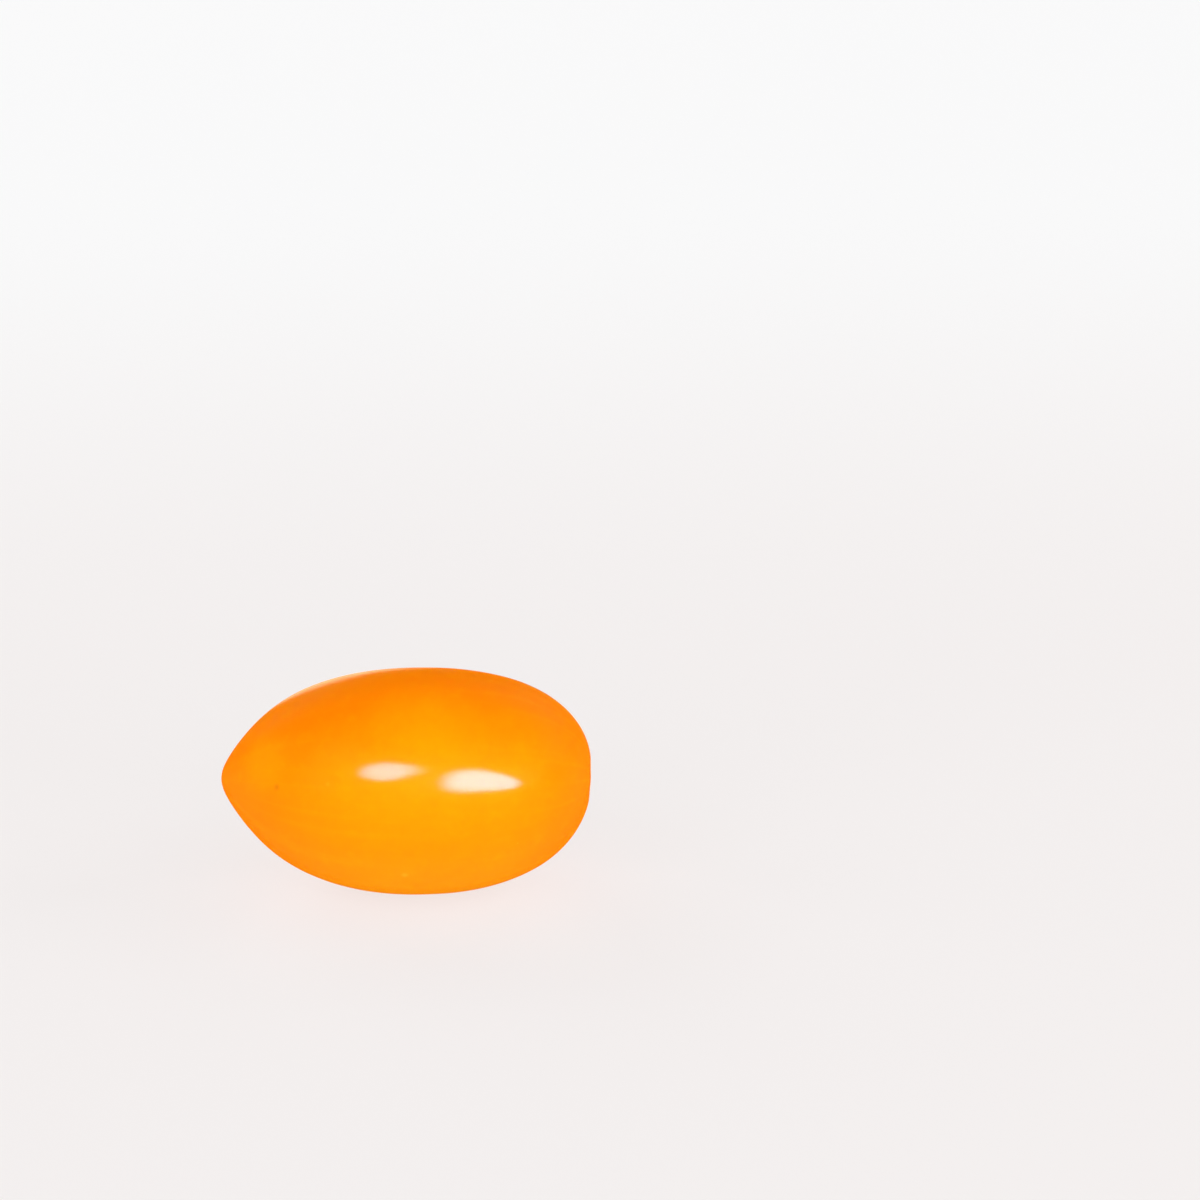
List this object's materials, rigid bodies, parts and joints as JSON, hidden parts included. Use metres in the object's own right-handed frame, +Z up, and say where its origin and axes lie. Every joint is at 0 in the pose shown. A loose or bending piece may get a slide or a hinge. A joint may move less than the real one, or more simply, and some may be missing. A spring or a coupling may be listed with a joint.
{
  "type": "cherry tomato",
  "caption": "Long grape-type cherry tomato, orange-yellow and glossy, picked without its calyx and lying on its side, with a pointed blossom tip and a small corky stem scar.",
  "frame": {"origin": "middle of the small flat spot that the fruit rests on", "axes": "+Z up from the surface, +X along the fruit from the blossom tip towards the stem scar"},
  "size_m": [0.0381, 0.0235, 0.0234],
  "materials": {
    "skin": "thin glossy tomato skin, orange-yellow, a little deeper orange at the tip and along the back, with fine pale flecks and a pale corky scar at the stem end"
  },
  "bodies": {
    "root": {"fruit": "skin"}
  },
  "joints": []
}
